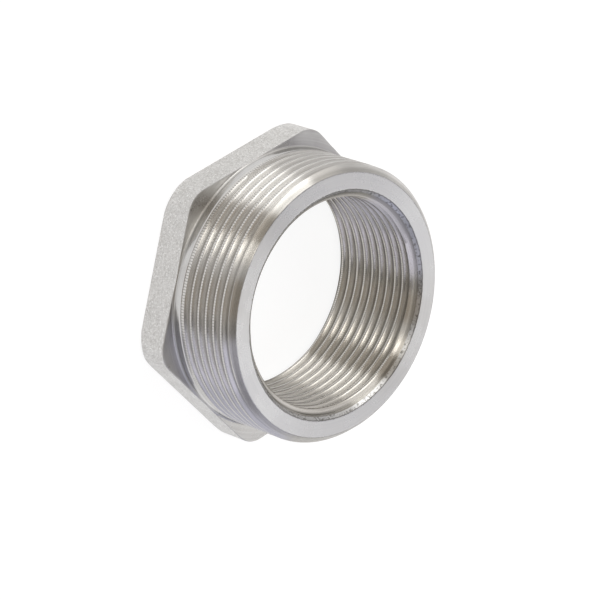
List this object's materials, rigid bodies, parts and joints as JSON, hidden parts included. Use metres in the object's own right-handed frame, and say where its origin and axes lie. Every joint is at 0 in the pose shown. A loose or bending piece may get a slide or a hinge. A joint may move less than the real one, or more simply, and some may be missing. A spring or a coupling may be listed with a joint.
{
  "type": "hex bushing",
  "caption": "Hexagon-headed reducing bushing in stainless steel, with a male pipe thread outside and a smaller female pipe thread through the bore.",
  "frame": {"origin": "centre of the head's back face, on the bore axis", "axes": "+Z along the bore, from the head's back face to the threaded nose; two of the head's corners on the X axis and two of its flats across the Y axis"},
  "size_m": [0.0674, 0.06, 0.0248],
  "materials": {
    "stainless": "investment-cast stainless steel: fine-blasted hexagon flats, turned shoulder, threads and faces"
  },
  "bodies": {
    "root": {"hex_bushing": "stainless"}
  },
  "joints": []
}
